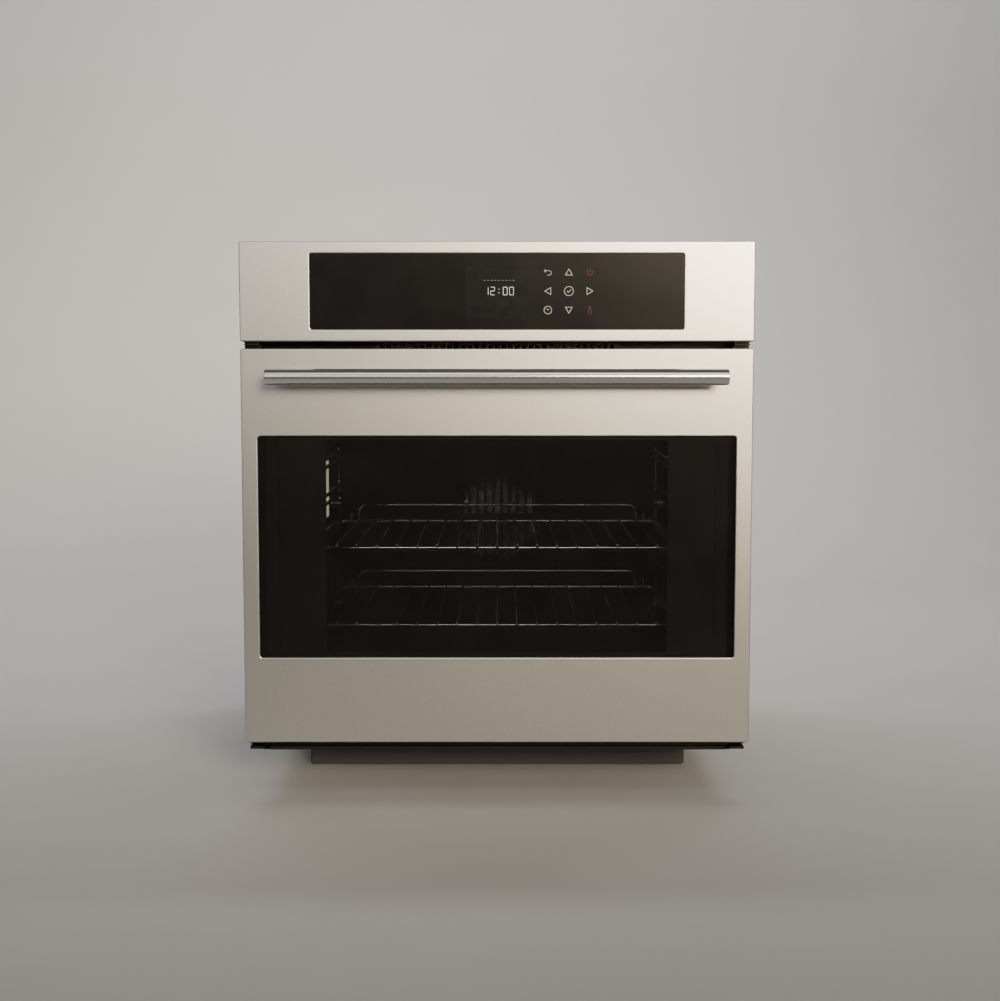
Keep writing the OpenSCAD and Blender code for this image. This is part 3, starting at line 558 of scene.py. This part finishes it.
white_strokes = [
    (triangle(COLUMNS[1], ROWS[0], 0), LINE, True),
    (triangle(COLUMNS[0], ROWS[1], 90), LINE, True),
    (triangle(COLUMNS[2], ROWS[1], -90), LINE, True),
    (triangle(COLUMNS[1], ROWS[2], 180), LINE, True),
    (circle(COLUMNS[1], ROWS[1], 5.2), LINE, True),
    (
        [
            (COLUMNS[1] - 2.2, ROWS[1] + 0.2),
            (COLUMNS[1] - 0.6, ROWS[1] - 1.5),
            (COLUMNS[1] + 2.3, ROWS[1] + 1.7),
        ],
        LINE, False,
    ),
    (circle(COLUMNS[0], ROWS[2], 4.4), LINE, True),
    (
        [
            (COLUMNS[0] - 1.5, ROWS[2] + 1.6),
            (COLUMNS[0], ROWS[2]),
            (COLUMNS[0] + 1.3, ROWS[2] + 1.1),
        ],
        LINE, False,
    ),
    (
        [(COLUMNS[0] - 4.2, ROWS[0] + 1.6)]
        + arc(COLUMNS[0] + 1.4, ROWS[0] - 0.9, 2.5, 90, -90)
        + [(COLUMNS[0] - 0.6, ROWS[0] - 3.4)],
        LINE, False,
    ),
    (
        [
            (COLUMNS[0] - 2.4, ROWS[0] + 3.4),
            (COLUMNS[0] - 4.3, ROWS[0] + 1.6),
            (COLUMNS[0] - 2.4, ROWS[0] - 0.2),
        ],
        LINE, False,
    ),
]
marks("touch_marks", white_strokes, FACE, mark_white)

red_strokes = [
    (arc(COLUMNS[2], ROWS[0] - 0.3, 3.3, 125, 415, 30), LINE, False),
    ([(COLUMNS[2], ROWS[0] + 3.9), (COLUMNS[2], ROWS[0])], LINE, False),
    (arc(COLUMNS[2], ROWS[2] - 2.6, 1.8, 125, 415, 24), LINE, False),
    (
        [(COLUMNS[2] - 1.0, ROWS[2] - 1.1), (COLUMNS[2] - 1.0, ROWS[2] + 3.2)]
        + arc(COLUMNS[2], ROWS[2] + 3.2, 1.0, 180, 0, 8)
        + [(COLUMNS[2] + 1.0, ROWS[2] - 1.1)],
        LINE, False,
    ),
]
marks("warning_marks", red_strokes, FACE, mark_red)

SEGMENTS = {"0": "abcdef", "1": "bc", "2": "abged"}


def digit_strokes(digit, cx, cz, w, h, line):
    ends = {
        "a": ((-w, h), (w, h)), "b": ((w, h), (w, 0)), "c": ((w, 0), (w, -h)),
        "d": ((-w, -h), (w, -h)), "e": ((-w, 0), (-w, -h)), "f": ((-w, h), (-w, 0)),
        "g": ((-w, 0), (w, 0)),
    }
    found = []
    for name in SEGMENTS[digit]:
        (x0, z0), (x1, z1) = ends[name]
        gap = line * 0.3
        way = Vector((x1 - x0, z1 - z0)).normalized() * gap
        found.append(
            ([(cx + x0 + way.x, cz + z0 + way.y), (cx + x1 - way.x, cz + z1 - way.y)], line, False)
        )
    return found


CLOCK_X, CLOCK_Z, CELL = 2.2, 538.0, 7.3
DIGIT_HALF_W, DIGIT_HALF_H, DIGIT_LINE = 2.3, 4.4, 0.6
SCREEN_LIFT = 0.06
DASH_Z, DASH_PITCH, DASH_LONG = 550.2, 4.2, 2.6
clock_strokes = []
for cell, digit in ((-2, "1"), (-1, "2"), (1, "0"), (2, "0")):
    clock_strokes += digit_strokes(
        digit, CLOCK_X + cell * CELL, CLOCK_Z, DIGIT_HALF_W, DIGIT_HALF_H, DIGIT_LINE
    )
for dz in (-2, 2):
    clock_strokes.append(
        ([(CLOCK_X - 0.45, CLOCK_Z + dz), (CLOCK_X + 0.45, CLOCK_Z + dz)], 0.9, False)
    )
marks("clock_digits", clock_strokes, FACE - SCREEN_LIFT, mark_white)

dash_starts = [CLOCK_X - 18 + i * DASH_PITCH for i in range(9)]
dash_strokes = [([(x, DASH_Z), (x + DASH_LONG, DASH_Z)], 0.5, False) for x in dash_starts]
marks("day_marks", dash_strokes, FACE - SCREEN_LIFT, mark_grey)

screen_low, screen_high = box_mm("display_module")
rings = []
for depth in (FACE - 0.04, FACE + 0.01):
    loop = rect_loop(screen_high.x, screen_low.z, screen_high.z, 1, 3)
    rings.append([at(x, depth, z) for x, z in loop])
points, faces = loops_to_mesh(rings, False)
count = len(rings[0])
faces.append(tuple(range(count)))
faces.append(tuple(range(count, 2 * count)))
display_face = add_mesh("display_face", points, faces, "oven", display_black, smooth=False)


# ---------------------------------------------------------------- floor, light and camera


def plain_box(name, low, high, material):
    """A stage block with softened edges."""
    work = bmesh.new()
    bmesh.ops.create_cube(work, size=1)
    for v in work.verts:
        v.co = Vector([low[i] if v.co[i] < 0 else high[i] for i in range(3)])
    bmesh.ops.bevel(work, geom=work.edges[:], offset=0.002, segments=2, affect="EDGES")
    mesh = bpy.data.meshes.new(name)
    work.to_mesh(mesh)
    work.free()
    mesh.materials.append(material)
    piece = bpy.data.objects.new(name, mesh)
    bpy.context.scene.collection.objects.link(piece)
    return piece


stage_pale = grain(
    new_material("stage_pale", (0.58, 0.58, 0.575), 0.0, 0.8), 8, EVEN, 0.015, 0.03, 0
)

# Near-black painted shade for the riser under the oven: it stands in for the shadow that falls
# beneath the oven, not for the block's own colour.
riser_painted_shade = grain(new_material("riser_painted_shade", (0.06, 0.06, 0.06), 0.0, 0.8), 8, EVEN, 0.02, 0.03, 0)

FLOOR_Z = -0.06
loop = [(-4.0, FLOOR_Z)]
loop += [(1.6 + 1.2 * math.sin(math.radians(a)), FLOOR_Z + 1.2 * (1 - math.cos(math.radians(a))))
         for a in range(0, 91, 6)]
loop.append((2.8, 5.0))
points, faces = [], []
for y, z in loop:
    points += [(-6, y, z), (6, y, z)]
for i in range(len(loop) - 1):
    faces.append((2 * i, 2 * i + 1, 2 * i + 3, 2 * i + 2))
mesh = bpy.data.meshes.new("floor")
mesh.from_pydata(points, [], faces)
mesh.polygons.foreach_set("use_smooth", [True] * len(mesh.polygons))
mesh.materials.append(stage_pale)
floor = bpy.data.objects.new("floor", mesh)
bpy.context.scene.collection.objects.link(floor)
# The riser carries the painted shade, so the space under the oven reads as shadow.
riser = plain_box(
    "riser", (-0.24, FRONT_Y + 0.17, FLOOR_Z), (0.24, FRONT_Y + 0.53, -0.0002), riser_painted_shade
)


def area_light(name, place, target, size, power, colour, spread=180):
    """A soft rectangular light that the camera does not see."""
    data = bpy.data.lights.new(name, "AREA")
    data.shape = "RECTANGLE"
    data.size, data.size_y = size
    data.energy = power
    data.color = colour
    data.spread = math.radians(spread)
    light = bpy.data.objects.new(name, data)
    bpy.context.scene.collection.objects.link(light)
    light.location = place
    light.visible_camera = False
    way = Vector(target) - Vector(place)
    light.rotation_euler = way.to_track_quat("-Z", "Y").to_euler()


WARM = (1.0, 0.83, 0.6)
HEART = (0, 0, 0.42)
area_light("right_softbox", (1.3, -3.7, 1.5), (0.1, 0, 0.75), (2.2, 1.4), 17, WARM, 34)
area_light("left_softbox", (-1.15, -3.7, 1.4), HEART, (2.1, 1.5), 1.2, (0.96, 0.98, 1), 50)
area_light("overhead", (0.2, -2.3, 2.6), (0, -0.2, 0.6), (3.0, 1.2), 1.6, (1, 0.98, 0.94), 50)
area_light("left_wall", (-2.3, -1.6, 0.9), (0, -0.4, 0.4), (1.4, 1.8), 4, (1, 1, 1))
area_light("right_wall", (2.3, -1.6, 0.9), (0, -0.4, 0.4), (1.4, 1.8), 4, (1, 0.97, 0.92))
area_light("back_wall", (0, 0.9, 2.6), (0, 2.6, 0.8), (3.0, 0.8), 64, (1, 1, 1))
cavity_low, cavity_high = box_mm("cavity_wrapper")
area_light(
    "cavity_glow", at(20, 60, cavity_high.z - 12), at(10, 330, cavity_low.z + 60),
    (0.42, 0.03), 0.3, (1.0, 0.97, 0.92),
)

world = bpy.data.worlds.new("studio")
world.use_nodes = True
world.node_tree.nodes["Background"].inputs["Color"].default_value = (0.5, 0.5, 0.5, 1)
world.node_tree.nodes["Background"].inputs["Strength"].default_value = 0.2
bpy.context.scene.world = world

CAMERA_PLACE = (3.5, -1916, 459.4)
CAMERA_TILT = 4.89
CAMERA_LENS = 59.34

camera_data = bpy.data.cameras.new("camera")
camera_data.sensor_fit = "AUTO"
camera_data.sensor_width = 36
camera_data.lens = CAMERA_LENS
camera = bpy.data.objects.new("camera", camera_data)
bpy.context.scene.collection.objects.link(camera)
camera.location = at(*CAMERA_PLACE)
camera.rotation_euler = (math.radians(90 - CAMERA_TILT), 0, 0)
bpy.context.scene.camera = camera
